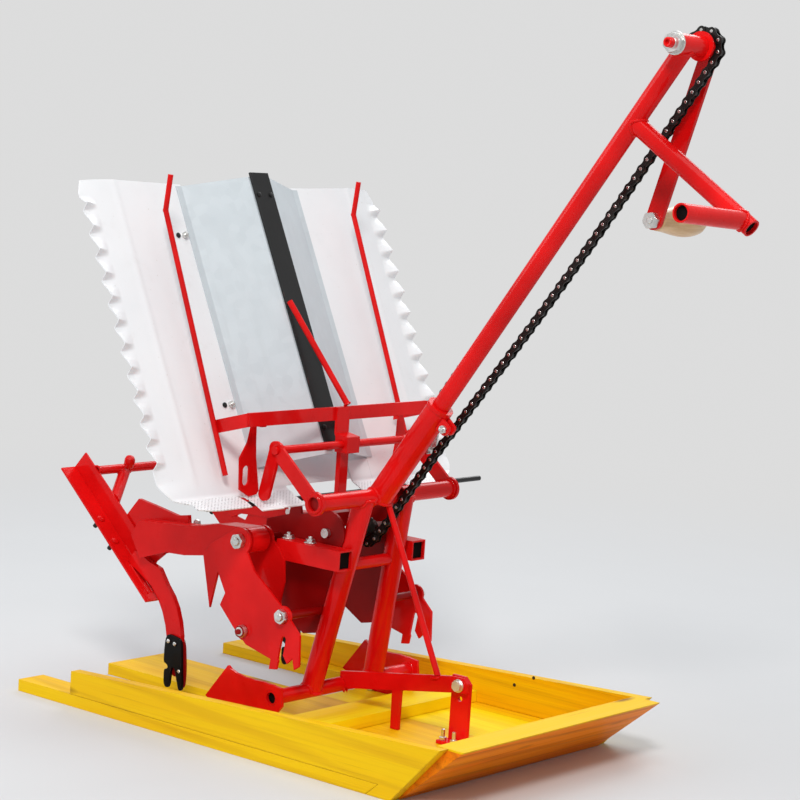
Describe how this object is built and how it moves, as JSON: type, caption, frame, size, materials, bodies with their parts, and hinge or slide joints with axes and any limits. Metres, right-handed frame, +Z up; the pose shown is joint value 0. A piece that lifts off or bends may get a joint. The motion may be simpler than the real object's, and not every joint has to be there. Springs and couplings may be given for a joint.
{
  "type": "hand-cranked two-row rice transplanter",
  "caption": "Red hand-cranked rice transplanter with two planting claws, a chain drive and white pleated seedling trays on a yellow wooden float.",
  "frame": {"origin": "under the middle sole plank, midway between the two rows, straight below the drive shaft", "axes": "+X along the float towards the operator, +Y across the rows to the crank's side, +Z up"},
  "size_m": [1.1272, 0.696, 1.0517],
  "materials": {
    "yellow_wood": "satin",
    "brown_wood": "satin",
    "red_steel": "gloss",
    "black_steel": "satin",
    "chain_steel": "satin",
    "zinc": "satin",
    "sprocket_steel": "satin",
    "tray_white": "satin",
    "grey_sheet": "satin",
    "grip_wood": "satin"
  },
  "bodies": {
    "frame": {"sole_planks": "yellow_wood", "floor_boards": "yellow_wood", "side_boards": "yellow_wood", "bow_board": "brown_wood", "cross_batten": "yellow_wood", "lower_cross_tube": "red_steel", "foot_plates": "red_steel", "frame_legs": "red_steel", "upper_cross_tube": "red_steel", "leg_tie_tube": "red_steel", "mast_sleeve": "red_steel", "mast_tube": "red_steel", "axle_tube": "red_steel", "handle_tube": "red_steel", "hold_bar": "red_steel", "draw_bar": "red_steel", "front_post": "red_steel", "brace_rod": "red_steel", "tray_brackets": "red_steel", "guide_rail": "red_steel", "lip_rail": "black_steel", "side_plates": "red_steel", "support_bars": "red_steel", "inner_arm_plates": "red_steel", "outer_arm_plates": "red_steel", "plate_pins": "zinc", "feed_case": "red_steel", "drive_chain": "chain_steel", "chain_tensioner": "zinc"},
    "crank": {"crank_axle": "zinc", "top_sprocket": "red_steel", "crank_arm": "red_steel", "grip_bolt": "zinc"},
    "grip": {"crank_grip": "grip_wood"},
    "drive": {"drive_shaft": "zinc", "lower_sprocket": "sprocket_steel"},
    "trays": {"tray_left": "tray_white", "tray_right": "tray_white", "inner_walls": "grey_sheet", "tray_sill": "tray_white", "centre_strip": "black_steel", "retainer_bar": "red_steel", "seedling_rods": "red_steel", "stay_rod": "red_steel", "guide_shoe": "red_steel"},
    "planting_arms": {"arm_angles": "red_steel", "arm_tube": "red_steel", "arm_struts": "red_steel", "arm_links": "red_steel", "claw_shanks": "red_steel", "claws": "black_steel"}
  },
  "joints": [
    {"name": "crank_turn", "type": "hinge", "parent": "frame", "child": "crank", "pos_m": [0.501, 0, 1.024], "axis": [0, 1, 0], "continuous": true},
    {"name": "grip_spin", "type": "hinge", "parent": "crank", "child": "grip", "pos_m": [0.43113, 0.13, 0.78813], "axis": [0, 1, 0], "continuous": true},
    {"name": "drive_turn", "type": "hinge", "parent": "frame", "child": "drive", "pos_m": [-0.00006, 0, 0.29929], "axis": [0, 1, 0], "continuous": true},
    {"name": "tray_feed", "type": "slide", "parent": "frame", "child": "trays", "axis": [0, 1, 0], "range_m": [-0.09, 0.09]},
    {"name": "arm_swing", "type": "hinge", "parent": "frame", "child": "planting_arms", "pos_m": [-0.093, 0, 0.28], "axis": [0, 1, 0], "range_deg": [-20, 35]}
  ],
  "couplings": [
    {"joint": "drive_turn", "follows": "crank_turn", "ratio": 1}
  ]
}
